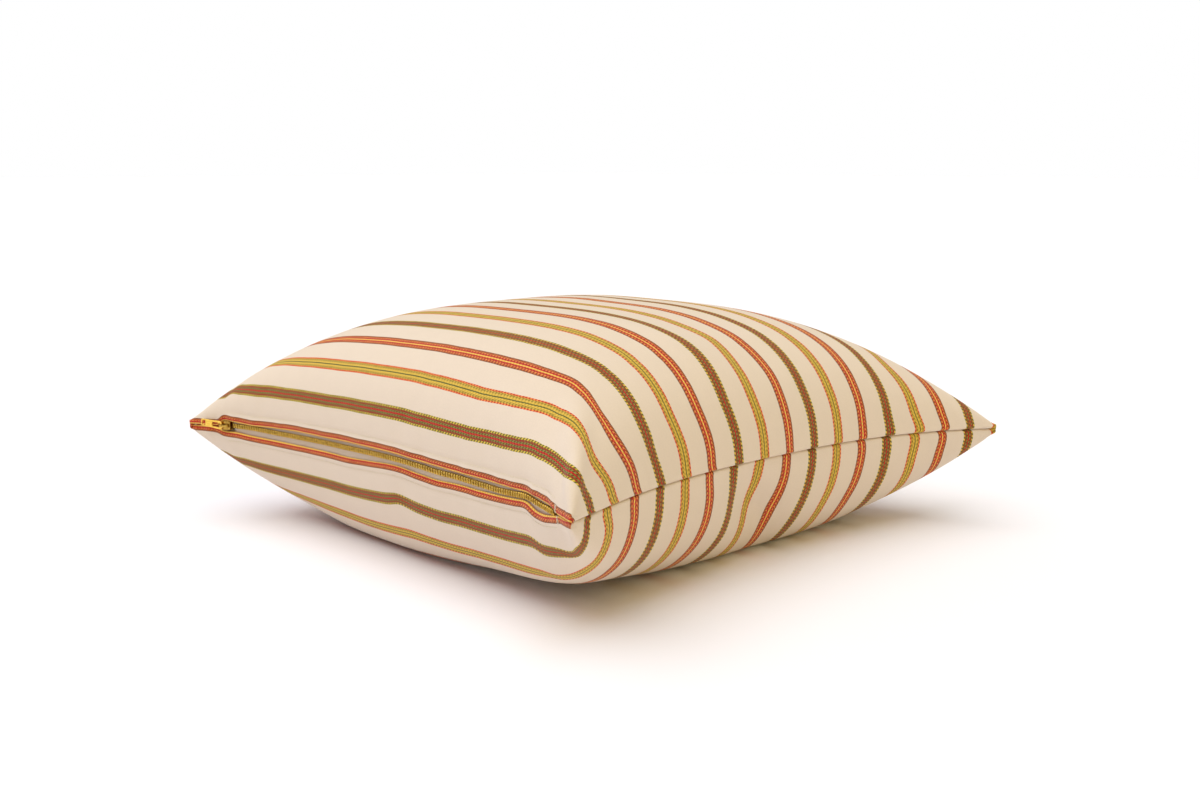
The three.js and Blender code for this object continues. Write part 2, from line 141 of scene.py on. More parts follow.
# Where the cloth is pulled along itself: the middle on the cloth as above, how far that spreads in X
# and Y, and how far the stripes lie nearer to the zip edge (below 0) or farther from it
PULLS = {
    1: [
        {"x": 195, "y": -172, "spread": (20, 28), "pull": -3.7},
        {"x": 170, "y": -146, "spread": (18, 12), "pull": -4.5},
        {"x": 95, "y": -172, "spread": (35, 25), "pull": -2.2},
        {"x": -148, "y": -178, "spread": (25, 25), "pull": 2.2},
        {"x": 207, "y": -119, "spread": (12, 13), "pull": -3.5},
        {"x": 105, "y": -93, "spread": (35, 15), "pull": 2},
        {"x": 112, "y": -40, "spread": (25, 12), "pull": -2.2},
        {"x": 132, "y": -13, "spread": (18, 12), "pull": 3.8},
        {"x": 175, "y": 13, "spread": (22, 12), "pull": 2.8},
        {"x": 168, "y": 145, "spread": (18, 22), "pull": -6},
        {"x": 225, "y": 155, "spread": (14, 35), "pull": 6},
        {"x": 0, "y": -150, "spread": (130, 80), "pull": 1},
        {"x": 228, "y": -165, "spread": (9, 45), "pull": 3},
    ],
    -1: [
        {"x": 10, "y": -185, "spread": (120, 50), "pull": -1.5},
        {"x": 228, "y": -203, "spread": (9, 14), "pull": 6},
        {"x": -115, "y": -172, "spread": (48, 16), "pull": -4},
        {"x": 12, "y": -199, "spread": (8, 10), "pull": -1.8},
        {"x": 182, "y": -85, "spread": (32, 45), "pull": 1.7},
        {"x": 160, "y": -170, "spread": (36, 11), "pull": 2.2},
        {"x": 192, "y": -199, "spread": (10, 12), "pull": 5.5},
        {"x": 226, "y": -190, "spread": (11, 32), "pull": -7},
        {"x": 226, "y": -40, "spread": (14, 45), "pull": -3.6},
        {"x": 178, "y": 85, "spread": (20, 45), "pull": -5},
        {"x": 225, "y": 165, "spread": (14, 30), "pull": 3.5},
    ],
}

# Seam and zip slot: at lengths along the zip edge from the left tip, how far the slot reaches above and
# below the seam's line, and how far the chain lies above that line
SLOT_COLUMNS = ("along", "above", "below", "chain")
SLOT = [
    (0, 0.4, 0.4, -0.5),
    (19, 0.4, 0.4, -0.2),
    (27, 0.4, 1.2, 0.3),
    (32, 3.8, 2.8, 1),
    (37, 4.2, 3.2, 1),
    (45, 3.7, 3.3, 1),
    (61, 2.6, 4.5, 0.8),
    (88, 2.9, 5.5, -0.2),
    (116, 3.2, 6.1, -0.5),
    (150, 2.9, 6.3, -0.5),
    (174, 3.2, 6.6, -0.5),
    (201, 3.1, 5.4, -0.2),
    (228, 3.1, 4.1, -0.1),
    (254, 2.1, 5.6, -0.8),
    (272, 1.9, 6.3, -1.4),
    (291, 1.7, 5.4, -1.2),
    (316, 2.1, 4.8, -1.2),
    (340, 2.6, 3.4, -0.7),
    (353, 3.1, 2.1, 0.4),
    (367, 3.9, 0.9, 1.7),
    (379, 3.7, 3.7, 0.8),
    (388, 3.1, 3.5, 0.3),
    (402, 1.6, 1.1, 0),
    (407, 0.4, 0.4, -0.2),
]
SEAM_HALF_GAP = 0.4
LIP_FADE = 15
SEAM_ROLL = 0.7
LIP_ROLL = 0.65
GROOVE_FLOOR = 1.1
LIP_THICK = 1.1
POCKET_DEEP = 3.4
POCKET_REACH = 7.5
OVERHANG = {1: 0.9, -1: -0.5}
OVERHANG_FADE = 5
OPEN_OVER = 2

# Stripes: their pitch, and how the pattern creeps from the fold of each lip
STRIPE_PITCH = 26.47
LIP_OFFSET = {1: -0.7, -1: -0.8}
PANEL_OFFSET = {1: 1.4, -1: 1.69}
CREEP = 12

# Mesh fineness: how far the first rows of the cloth lie from its edge, then the step between the rest
EDGE_ROWS = [0, 0.25, 0.6, 1, 1.5, 2.1, 2.9, 3.9, 5, 6, 6.9, 7.5, 8.1, 9, 10.2, 11.8]
CLOTH_STEP = 2.4
SEAM_SAMPLES = 2400


def smooth(t):
    return t * t * (3 - 2 * t)


def unit(vectors):
    return vectors / np.maximum(np.linalg.norm(vectors, axis=-1, keepdims=True), 1e-9)


def mesh_piece(name, points, faces, material, uvs=None):
    """A mesh object from points and, where they are given, cloth coordinates, all in millimetres."""
    mesh = bpy.data.meshes.new(name)
    mesh.from_pydata((np.asarray(points) * MM).tolist(), [], [list(map(int, face)) for face in faces])
    mesh.update()
    mesh.shade_smooth()
    if uvs is not None:
        layer = mesh.uv_layers.new(name="cloth")
        loops = np.zeros(len(mesh.loops), int)
        mesh.loops.foreach_get("vertex_index", loops)
        layer.data.foreach_set("uv", (np.array(uvs)[loops] * MM).ravel())
    piece = bpy.data.objects.new(name, mesh)
    scene.collection.objects.link(piece)
    if material:
        mesh.materials.append(material)
    return piece


def direction(azimuth, elevation):
    """The unit vector to a place at an azimuth from -Y and an elevation, both in degrees."""
    azimuth, elevation = math.radians(azimuth), math.radians(elevation)
    level = math.cos(elevation)
    return Vector((math.sin(azimuth) * level, -math.cos(azimuth) * level, math.sin(elevation)))


def make_camera():
    data = bpy.data.cameras.new("camera")
    data.lens = LENS_MM
    data.sensor_width = SENSOR_MM
    data.sensor_fit = "HORIZONTAL"
    camera = bpy.data.objects.new("camera", data)
    back = direction(CAMERA_AZIMUTH, CAMERA_ELEVATION)
    camera.location = (Vector(CAMERA_TARGET) + CAMERA_DISTANCE * back) * MM
    camera.rotation_euler = (math.radians(90 - LOOK_ELEVATION), 0, math.radians(LOOK_AZIMUTH))
    scene.collection.objects.link(camera)
    scene.camera = camera


# Cloth surface, worked out for whole grids at a time. a and b run from -1 to 1 across the outline
def tip_share(tip, a, b):
    return ((1 + tip["x"] * a) / 2) * ((1 + tip["y"] * b) / 2)


def outline_point(a, b):
    x = a * (TIP_REACH - SIDE_EDGE["draw_in"] * (1 - np.abs(b) ** SIDE_EDGE["power"]))
    y = b * (TIP_REACH - ZIP_EDGE["draw_in"] * (1 - np.abs(a) ** ZIP_EDGE["power"]))
    for tip in TIPS:
        share = tip_share(tip, a, b) ** SHIFT_POWER
        point = tip_share(tip, a, b) ** POINT_POWER
        x = x + tip["shift_x"] * share + tip["point"][0] * point
        y = y + tip["shift_y"] * share + tip["point"][1] * point
    return x, y - OUTLINE_MIDDLE_Y


def seam_height(a, b):
    height = SEAM_BOW * ((1 - b * b) * a * a + (1 - a * a) * b * b)
    for tip in TIPS:
        share = tip_share(tip, a, b)
        height = height + tip["height"] * share + tip["point"][2] * share**POINT_POWER
    return height


def seam_table():
    """Points along the zip edge, with the arc length from the left tip."""
    across = np.linspace(-1, 1, SEAM_SAMPLES + 1)
    a = np.sin(across * math.pi / 2)
    b = np.full_like(a, -1.0)
    x, y = outline_point(a, b)
    points = np.stack([x, y, seam_height(a, b)], -1)
    steps = np.linalg.norm(np.diff(points, axis=0), axis=1)
    return {"across": across, "along": np.r_[0, np.cumsum(steps)], "points": points}


SEAM = seam_table()


def zip_frames(along):
    """The zip's own frames at arc lengths: origin, t along it, n out of the cloth and v up the slot."""
    along = np.atleast_1d(np.asarray(along, float))

    def place(at):
        return np.stack([np.interp(at, SEAM["along"], SEAM["points"][:, k]) for k in range(3)], -1)

    t = unit(place(along + 0.5) - place(along - 0.5))
    n = unit(np.stack([t[:, 1], -t[:, 0], np.zeros(len(t))], -1))
    return place(along), t, n, np.cross(n, t)


def zip_points(along, out, up):
    """Points by the chain's line: at arc lengths, so far out of the cloth and up the slot."""
    origin, _, n, v = zip_frames(along)
    up = up + slot_curve("chain", np.atleast_1d(along))
    return origin + n * np.reshape(out, (-1, 1)) + v * np.reshape(up, (-1, 1))


def slot_curve(key, along):
    """One column of SLOT at arc lengths, by a curve through its rows."""
    columns = dict(zip(SLOT_COLUMNS, np.array(SLOT, float).T))
    stations, values = columns["along"], columns[key]
    slopes = np.gradient(values, stations)
    low = np.clip(np.searchsorted(stations, along, "right") - 1, 0, len(SLOT) - 2)
    step = stations[low + 1] - stations[low]
    t = np.clip((along - stations[low]) / step, 0, 1)
    level = values[low] + (values[low + 1] - values[low]) * smooth(t)
    return level + step * (slopes[low] * t * (1 - t) ** 2 - slopes[low + 1] * t**2 * (1 - t))


def slot_half(key, along):
    return np.maximum(slot_curve(key, along), SEAM_HALF_GAP)


def swell_at(panel, a, b):
    round_x = np.clip(1 - np.abs(a) ** panel["full_x"], 0, None) ** panel["blunt_x"]
    round_y = np.clip(1 - np.abs(b) ** panel["full_y"], 0, None) ** panel["blunt_y"]
    return panel["swell"] * round_x * round_y


def from_edges(across, up):
    """How far places on the cloth are from its nearer side and from its nearer end."""
    return (1 - np.abs(across)) * HALF_CLOTH, (1 - np.abs(up)) * HALF_CLOTH


def seam_share(from_side, from_end):
    """How much of the seam's gap and roll is left: all along the edges, little at the tips."""
    return 1 - CLOSED_SHARE * np.exp(-((np.hypot(from_side, from_end) / CLOSED_LENGTH) ** 2))


def free_cloth(panel, across, up):
    """Points of a panel before its folds, and how far each has swelled over the seam."""
    a = np.sin(across * math.pi / 2)
    b = np.sin(up * math.pi / 2)
    x, y = outline_point(a, b)
    swell = swell_at(panel, a, b)
    key = "above" if panel["side"] > 0 else "below"
    open_half = slot_half(key, np.interp(across, SEAM["across"], SEAM["along"])) - SEAM_HALF_GAP
    from_side, from_end = from_edges(across, up)
    gap = SEAM_HALF_GAP * seam_share(from_side, from_end)
    lip = (gap + open_half * (1 - b) / 2) * np.exp(-swell / LIP_FADE)
    nose = NOSE_HEIGHT * (1 - np.exp(-np.sqrt(from_side * from_end) / NOSE_EDGE))
    nose = nose * np.exp(-np.hypot(from_side, from_end) / NOSE_LENGTH)
    cut = POINT_CUT * np.exp(-(from_side + from_end) / POINT_LENGTH)
    cut = (cut - POINT_REACH * np.exp(-(from_side + from_end) / NOSE_LENGTH)) / math.sqrt(2)
    height = seam_height(a, b) + panel["side"] * (swell + lip + nose)
    return np.stack([x - np.sign(a) * cut, y - np.sign(b) * cut, height], -1), swell


def grid_normals(panel, grid):
    """Outward normals of a grid of points, by differences between neighbours."""
    return unit(np.cross(np.gradient(grid, axis=0), np.gradient(grid, axis=1)) * panel["side"])


def fold_rise(panel, across, up):
    rise = np.zeros(across.shape)
    for fold in FOLDS[panel["side"]]:
        turn = math.radians(fold["turn"])
        x = across * HALF_CLOTH - fold["x"]
        y = up * HALF_CLOTH - fold["y"]
        along = (x * math.cos(turn) + y * math.sin(turn)) / fold["length"]
        beside = y * math.cos(turn) - x * math.sin(turn)
        beside = beside / np.where(beside < 0, fold["flanks"][0], fold["flanks"][1])
        rise += fold["rise"] * np.exp(-(along**2) - beside**2)
    return rise


def ripples(generator, place):
    """Uneven ripples along a line, from random waves."""
    level = np.zeros(place.shape)
    for _ in range(PUCKER_WAVES):
        length = generator.uniform(*PUCKER_LENGTH)
        phase = generator.uniform(0, 2 * math.pi)
        size = math.sqrt(length / PUCKER_LENGTH[1])
        level += np.sin(place * (2 * math.pi / length) + phase) * size
    return level * PUCKER_HEIGHT


def unevenness(panel, across, up):
    """How far the cloth stands out by its puckers and soft dents."""
    x, y = across * HALF_CLOTH, up * HALF_CLOTH
    generator = np.random.default_rng(PUCKER_SEED + panel["side"])
    level = np.zeros(across.shape)
    for place, other in ((x, y), (y, x)):
        distance = HALF_CLOTH - np.abs(other)
        share = np.exp(-distance / PUCKER_FADE) * (1 - np.exp(-distance / PUCKER_START))
        for half in (other <= 0, other > 0):
            level += ripples(generator, place) * share * half
    generator = np.random.default_rng(DENT_SEED + panel["side"])
    for _ in range(DENT_COUNT):
        middle = generator.uniform(-HALF_CLOTH, HALF_CLOTH, 2)
        width = generator.uniform(*DENT_WIDTH)
        away = np.hypot(x - middle[0], y - middle[1]) / width
        level += generator.uniform(-1, 1) * DENT_HEIGHT * np.exp(-(away**2))
    from_tip = np.hypot(*from_edges(across, up))
    return level * (1 - np.exp(-((from_tip / UNEVEN_FROM) ** 2)))


def topstitch_furrow(along, distance):
    """How far the stitches beside the zip draw the cloth in, and puff it between row and fold."""
    row = TOPSTITCH
    ends = np.clip((along - row["from"]) / FURROW_END, 0, 1)
    ends = ends * np.clip((row["to"] - along) / FURROW_END, 0, 1)
    groove = np.exp(-(((distance - row["distance"]) / FURROW_WIDTH) ** 2))
    puff = np.exp(-(((distance - row["distance"] / 2) / PUFF_WIDTH) ** 2))
    return ends * (puff * PUFF_HEIGHT - groove * FURROW_DEEP)


def pull_at(panel, x, y):
    pull = np.zeros(x.shape)
    for row in PULLS[panel["side"]]:
        beside = (x - row["x"]) / row["spread"][0]
        beyond = (y - row["y"]) / row["spread"][1]
        pull += row["pull"] * np.exp(-(beside**2) - beyond**2)
    return pull


def flatten(height):
    """Heights with all below the floor pressed flat on it, and a soft bend into that."""
    blended = (height + REST_BLEND) ** 2 / (4 * REST_BLEND)
    return np.where(height >= REST_BLEND, height, np.where(height <= -REST_BLEND, 0, blended))


def arc_lengths(grid, axis):
    """How far each point of a grid is along its own row or column, and each row's whole length."""
    steps = np.linalg.norm(np.diff(grid, axis=axis), axis=-1)
    along = np.insert(np.cumsum(steps, axis=axis), 0, 0, axis=axis)
    return along, np.take(along, [-1], axis=axis)


def cloth_lines():
    """Places of the cloth's rows and columns from -1 to 1, closer together by the seams."""
    edge = np.array(EDGE_ROWS)
    inner_from = EDGE_ROWS[-1]
    cells = round((CLOTH_WIDTH - 2 * inner_from) / CLOTH_STEP)
    inner = np.linspace(inner_from, CLOTH_WIDTH - inner_from, cells + 1)
    places = np.concatenate([edge[:-1], inner, CLOTH_WIDTH - edge[:-1][::-1]])
    return places / HALF_CLOTH - 1


def inward_from_edge(line, turn):
    """Level directions inwards from an edge of the cloth, to the left of its run by turn 1."""
    run = np.gradient(line, axis=0)
    return unit(np.stack([-run[:, 1], run[:, 0], np.zeros(len(run))], -1) * turn)


def roll_in(distance, radius):
    """How far the cloth has turned inwards at a distance from its edge."""
    turn = np.clip(distance / (radius * math.pi / 2), 0, 1) * math.pi / 2
    return radius * (1 - np.sin(turn))


def open_share(lines):
    """How open the zip's slot is at the cloth's columns: 0 at the closed seam, 1 in the slot."""
    along = np.interp(lines, SEAM["across"], SEAM["along"])
    return np.clip((slot_half("above", along) - SEAM_HALF_GAP) / OPEN_OVER, 0, 1)


def panel_grid(panel, lines):
    """Points of one panel, and its cloth coordinates: u along the stripes, v across."""
    side = panel["side"]
    across, up = np.meshgrid(lines, lines, indexing="ij")
    grid, swell = free_cloth(panel, across, up)
    rise = fold_rise(panel, across, up) * (1 - np.exp(-swell / FOLD_FADE))
    rise = rise + unevenness(panel, across, up)
    along = np.interp(across, SEAM["across"], SEAM["along"])
    rise = rise + topstitch_furrow(along, arc_lengths(grid, 1)[0])
    grid = grid + grid_normals(panel, grid) * rise[..., None]
    x_along, x_whole = arc_lengths(grid, 0)
    y_along, y_whole = arc_lengths(grid, 1)
    u = (x_along / x_whole - 0.5) * CLOTH_WIDTH * side
    s = y_along / y_whole * CLOTH_WIDTH
    settle = 1 - np.exp(-s / CREEP)
    v = s + LIP_OFFSET[side] + (PANEL_OFFSET[side] - LIP_OFFSET[side]) * settle
    v = v - pull_at(panel, u * side, s - HALF_CLOTH)
    opened = open_share(lines)[:, None]
    edges = [
        (grid[:, 0], y_along, 0, 1, opened),
        (grid[:, -1], y_whole - y_along, 0, -1, 0),
        (grid[0, :], x_along, 1, -1, 0),
        (grid[-1, :], x_whole - x_along, 1, 1, 0),
    ]
    closing = seam_share(*from_edges(across, up))
    move = np.zeros_like(grid)
    for line, distance, axis, turn, gape in edges:
        inward = np.expand_dims(inward_from_edge(line, turn), 1 - axis)
        out = OVERHANG[side] * (1 - gape) * closing * np.exp(-distance / OVERHANG_FADE)
        radius = (SEAM_ROLL + (LIP_ROLL - SEAM_ROLL) * gape) * closing
        move += inward * (roll_in(distance, radius) - out)[..., None]
    grid = grid + move
    grid[..., 2] = flatten(grid[..., 2])
    return grid, u, v


# The finished grid of each panel, by its side, for what is sewn on it
CLOTH = {}


def lip_points(side, along, distance, proud):
    """Points on a panel by the zip: at arc lengths along the seam, so far from the lip's fold, and so
    far out of the cloth."""
    grid = CLOTH[side]
    normals = grid_normals(UPPER if side > 0 else LOWER, grid)
    across = np.interp(along, SEAM["along"], SEAM["across"])
    columns = np.interp(across, cloth_lines(), range(len(grid)))
    found = []
    for column, height in zip(columns, np.broadcast_to(distance, np.shape(columns))):
        low = min(int(column), len(grid) - 2)
        share = column - low
        line = grid[low] * (1 - share) + grid[low + 1] * share
        normal = normals[low] * (1 - share) + normals[low + 1] * share
        arc = np.insert(np.cumsum(np.linalg.norm(np.diff(line, axis=0), axis=-1)), 0, 0)
        place, out = (
            np.array([np.interp(height, arc, row[:, k]) for k in range(3)]) for row in (line, normal)
        )
        found.append(place + unit(out) * proud)
    return np.array(found)


def rim_order(count):
    """The places in a square grid round its rim, from the left end of the zip edge."""
    rim = [(i, 0) for i in range(count - 1)]
    rim += [(count - 1, j) for j in range(count - 1)]
    rim += [(i, count - 1) for i in range(count - 1, 0, -1)]
    rim += [(0, j) for j in range(count - 1, 0, -1)]
    return rim


def make_cushion(material):
    """The cover: both panels, with the seam's groove and the zip's pocket between them."""
    lines = cloth_lines()
    count = len(lines)
    points, uvs, panel_ids = [], [], []
    for panel in (UPPER, LOWER):
        grid, u, v = panel_grid(panel, lines)
        CLOTH[panel["side"]] = grid
        panel_ids.append(len(points) * count * count + np.arange(count * count).reshape(count, count))
        points.append(grid.reshape(-1, 3))
        uvs.append(np.stack([u, v], -1).reshape(-1, 2))
    upper, lower = panel_ids
    points = list(np.concatenate(points))
    uvs = list(np.concatenate(uvs))
    faces = []
    for i in range(count - 1):
        for j in range(count - 1):
            faces.append((upper[i, j], upper[i + 1, j], upper[i + 1, j + 1], upper[i, j + 1]))
            faces.append((lower[i, j], lower[i, j + 1], lower[i + 1, j + 1], lower[i + 1, j]))
    rim = rim_order(count)
    opened = open_share(lines)
    along = np.interp(lines, SEAM["across"], SEAM["along"])
    pockets = {
        side: [lip_points(side, along, POCKET_REACH, -deep) for deep in (LIP_THICK, POCKET_DEEP)]
        for side in (1, -1)
    }
    rings = []
    for k, (i, j) in enumerate(rim):
        run = points[upper[rim[(k + 1) % len(rim)]]] - points[upper[rim[k - 1]]]
        inward = unit(np.array([-run[1], run[0], 0]))
        gape = opened[i] if j == 0 else 0
        ring = [upper[i, j]]
        for ids, side, steps in ((upper, 1, (0, 1)), (lower, -1, (1, 0))):
            for step in steps:
                depth = GROOVE_FLOOR * (step + 1) / 2
                place = points[ids[i, j]] + inward * depth
                if gape > 0:
                    place = place * (1 - gape) + pockets[side][step][i] * gape
                turned = depth + POCKET_REACH * gape if j == 0 else 0
                ring.append(len(points))
                points.append(place)
                uvs.append(uvs[ids[i, j]] - np.array([0, turned]))
        rings.append(ring + [lower[i, j]])
    for k, ring in enumerate(rings):
        after = rings[(k + 1) % len(rings)]
        for m in range(len(ring) - 1):
            faces.append((ring[m], ring[m + 1], after[m + 1], after[m]))
    return mesh_piece("cushion_cover", points, faces, material, uvs)


# Zip: where it lies along the edge, and its sizes across
ZIP_FROM = 44
ZIP_TO = 400
TAPE_DEEP = 1.5
TAPE_THICK = 0.5
TAPE_REACH = {1: 7.2, -1: 6.3}
TAPE_CLEARANCE = 0.4
TAPE_WIDTH = 10.3
TAPE_ROWS = 180
TAPE_COLUMNS = 12
MIDDLE_GAP = 0.25
TOOTH_PITCH = 2.6
TOOTH_START = 0.8
CHAIN_TO = 399.8
TOOTH_OUTLINE = [
    (-0.4, 1.75), (0.4, 1.75), (0.42, 0.3), (0.4, -0.9),
    (0.2, -1.4), (-0.2, -1.4), (-0.4, -0.9), (-0.42, 0.3),
]
TOOTH_SINK = {1: 0, -1: 0.5}
TOOTH_LEAN = 0.28
TOOTH_LEVELS = [(-2.1, 1), (0.25, 1), (0.5, 0.85), (0.62, 0.5)]


def strip(name, rings, material, uvs=None):
    """A closed bar through rings of points, all with the same count."""
    rings = np.asarray(rings)
    count = rings.shape[1]
    faces = []
    for low in range(0, (len(rings) - 1) * count, count):
        for k in range(count):
            after = (k + 1) % count
            faces.append((low + k, low + count + k, low + count + after, low + after))
    faces.append(tuple(range(count)))
    faces.append(tuple(range((len(rings) - 1) * count, len(rings) * count))[::-1])
    return mesh_piece(name, rings.reshape(-1, 3), faces, material, uvs)


def make_tape(side, material):
    """One woven tape: its outer edge runs behind the lip, its inner edge carries the teeth."""
    name = "upper_tape" if side > 0 else "lower_tape"
    along = np.linspace(ZIP_FROM, ZIP_TO, TAPE_ROWS)
    columns = TAPE_COLUMNS
    rings, across = [], []
    for thick, shares in ((0, range(columns + 1)), (TAPE_THICK, range(columns, -1, -1))):
        inner = zip_points(along, -TAPE_DEEP - thick, MIDDLE_GAP * side)
        sewn = lip_points(side, along, TAPE_REACH[side], -LIP_THICK - TAPE_CLEARANCE - thick)
        rings += [inner + (sewn - inner) * share / columns for share in shares]
        across += [share / columns * TAPE_WIDTH for share in shares]
    uvs = [(place, side * reach) for place in along for reach in across]
    return strip(name, np.swapaxes(np.array(rings), 0, 1), material, uvs)


def make_teeth(side, material):
    """A row of separate teeth, those of the lower row half a pitch on from those of the upper."""
    name = "upper_teeth" if side > 0 else "lower_teeth"
    first = ZIP_FROM + (TOOTH_START if side > 0 else TOOTH_START + TOOTH_PITCH / 2)
    outline = np.array(TOOTH_OUTLINE)
    centre = outline.mean(0)
    points, faces = [], []
    for along in np.arange(first, CHAIN_TO, TOOTH_PITCH):
        _, t, n, v = (row[0] for row in zip_frames(along))
        origin = zip_points(along, 0, 0)[0]
        start = len(points)
        count = len(outline)
        for out, size in TOOTH_LEVELS:
            for run, up in centre + (outline - centre) * size:
                raised = out - TOOTH_SINK[side]
                points.append(origin + t * (run - TOOTH_LEAN * up * side) + v * up * side + n * raised)
        for level in range(len(TOOTH_LEVELS) - 1):
            for k in range(count):
                a = start + level * count + k
                b = start + level * count + (k + 1) % count
                faces.append((a, b, b + count, a + count))
        faces.append(tuple(range(start + count - 1, start - 1, -1)))
        top = start + (len(TOOTH_LEVELS) - 1) * count
        faces.append(tuple(range(top, top + count)))
    return mesh_piece(name, points, faces, material)


# Bar tack over the zip's right end: where it lies, and how its stitches run up both lips
BAR_TACK = {
    "along": 404.5, "from": 0.5, "to": 4.8, "pitch": 0.75, "length": 1.8, "thick": 0.45, "proud": 0.15,
}

# Stitch: rings at shares of its length, each with its rise and its size, both as shares of its thickness
STITCH_RINGS = [(0, -0.6, 0.6), (0.15, 0.1, 0.95), (0.5, 0.35, 1), (0.85, 0.1, 0.95), (1, -0.6, 0.6)]
STITCH_SIDES = 6


def stitch(start, end, thick, lift):
    """Points and faces of one stitch: a short thread that rises from the cloth and dips in again."""
    run = end - start
    beside = unit(np.cross(run, lift))
    sides = STITCH_SIDES
    points = []
    for share, rise, size in STITCH_RINGS:
        middle = start + run * share + lift * rise * thick
        for turn in np.arange(sides) * 2 * math.pi / sides:
            points.append(middle + (beside * math.cos(turn) + lift * math.sin(turn)) * size * thick / 2)
    faces = [tuple(range(sides))[::-1], tuple(range(len(points) - sides, len(points)))]
    for low in range(0, len(points) - sides, sides):
        for k in range(sides):
            after = (k + 1) % sides
            faces.append((low + k, low + after, low + sides + after, low + sides + k))
    return points, faces


def sewn_row(name, starts, ends, lifts, thick, material):
    """A row of stitches as one object."""
    points, faces = [], []
    for start, end, lift in zip(starts, ends, lifts):
        own_points, own_faces = stitch(start, end, thick, lift)
        faces += [tuple(k + len(points) for k in face) for face in own_faces]
        points += own_points
    return mesh_piece(name, points, faces, material)


def make_topstitches(side, material):
    row = TOPSTITCH
    along = np.arange(row["from"], row["to"], row["pitch"])
    starts, ends, above = (
        lip_points(side, along + run, row["distance"], row["proud"] + rise)
        for run, rise in ((0, 0), (row["length"], 0), (0, 1))
    )
    name = "upper_topstitches" if side > 0 else "lower_topstitches"
    return sewn_row(name, starts, ends, above - starts, row["thick"], material)


def make_bar_tack(material):
    row = BAR_TACK
    distances = np.arange(row["from"], row["to"], row["pitch"])
    places = [[], [], [], []]
    for side in (1, -1):
        for found, run, rise in zip(places, (-0.5, 0.5, 0, 0), (0, 0, 0, 1)):
            along = np.full_like(distances, row["along"] + row["length"] * run)
            found += list(lip_points(side, along, distances, row["proud"] + rise))
    starts, ends, under, above = (np.array(found) for found in places)
    return sewn_row("bar_tack", starts, ends, above - under, row["thick"], material)


# Slider, laid out from its left end, and pull, from its right end: x along the zip, y up the slot, z out
# of it. A half is an outline on one side of the x axis, and it is the same on the other side
SLIDER_FROM = 31
SLIDER_LENGTH = 10
SLIDER_DEEP = 2.8
SLIDER_OUTER = 1.2
SHIELD_HALF = [(0, -3), (6, -3.4), (10, -3)]
CORE_HALF = [(0.4, -0.5), (5.5, -1.3)]
CORE_INSET = 0.2
PLATE_THICK = 0.9
PLATE_BEVEL = 0.25
RIM = [(3, 2.5), (3, 3.4), (6, 3.4), (10, 3), (10, 2.2), (6, 2.6)]
RIM_DEEP = 1.3
BRIDGE_WIDTH = 2.1
BRIDGE_THICK = 0.8
BRIDGE_TOP = 3.4
BRIDGE_PATH = [
    (0.75, 0.6), (0.75, 2.3), (1.1, 3.05), (2, BRIDGE_TOP), (5, 3.5), (7.6, 3.2), (8.7, 2.5), (9.1, 0.6),
]
PULL_LENGTH = 19.4
PULL_THICK = 1
PULL_PIVOT = 2.15
PULL_BAR = 1.3
PULL_END_OUT = 3.6
PULL_END_UP = 3.4
PULL_HALF = [(0, 2.7), (-3, 3.1), (-9.6, 2.75), (-19, 2.6), (-19.4, 1.8)]
PULL_EYE_HALF = [(-1.3, 1.6), (-9.2, 1.6)]
PULL_LOOP_HALF = [(-15.4, 1.9), (-18.45, 1.7)]


def mirrored(half):
    return half + [(x, -y) for x, y in half[::-1]]


def rounded(corners, radius, steps=5):
    """A closed outline with its corners rounded."""
    corners = np.array(corners, float)
    outline = []
    for k, corner in enumerate(corners):
        before = corners[k - 1] - corner
        after = corners[(k + 1) % len(corners)] - corner
        reach = min(radius, np.linalg.norm(before) / 2, np.linalg.norm(after) / 2)
        start = corner + before / np.linalg.norm(before) * reach
        end = corner + after / np.linalg.norm(after) * reach
        for share in np.linspace(0, 1, steps + 1):
            outline.append((1 - share) ** 2 * start + 2 * share * (1 - share) * corner + share**2 * end)
    return np.array(outline)


def plate(outlines, bottom, thick, bevel):
    """A flat plate with rounded edges: the first outline is its edge, the rest are holes."""
    curve = bpy.data.curves.new("plate", "CURVE")
    curve.dimensions = "2D"
    curve.fill_mode = "BOTH"
    curve.extrude = (thick / 2 - bevel) * MM
    curve.bevel_depth = bevel * MM
    curve.bevel_resolution = 2
    curve.offset = -bevel * MM
    for outline in outlines:
        spline = curve.splines.new("POLY")
        spline.points.add(len(outline) - 1)
        for point, (x, y) in zip(spline.points, outline):
            point.co = (x * MM, y * MM, 0, 1)
        spline.use_cyclic_u = True
    holder = bpy.data.objects.new("plate", curve)
    mesh = bpy.data.meshes.new_from_object(holder)
    bpy.data.objects.remove(holder)
    mesh.transform(Matrix.Translation((0, 0, (bottom + thick / 2) * MM)))
    return mesh


def bar_along(path, width, thick):
    """A flat bar that follows a path in x and z, with rounded long edges, as a mesh."""
    path = np.array(path, float)
    run = unit(np.gradient(path, axis=0))
    across = np.stack([-run[:, 1], run[:, 0]], -1)
    section = rounded([(-1, -1), (1, -1), (1, 1), (-1, 1)], radius=0.6, steps=3)
    rings = [
        [(x + side[0] * lift, y, z + side[1] * lift) for y, lift in section * (width / 2, thick / 2)]
        for (x, z), side in zip(path, across)
    ]
    piece = strip("bar", rings, None)
    mesh = piece.data
    bpy.data.objects.remove(piece)
    return mesh


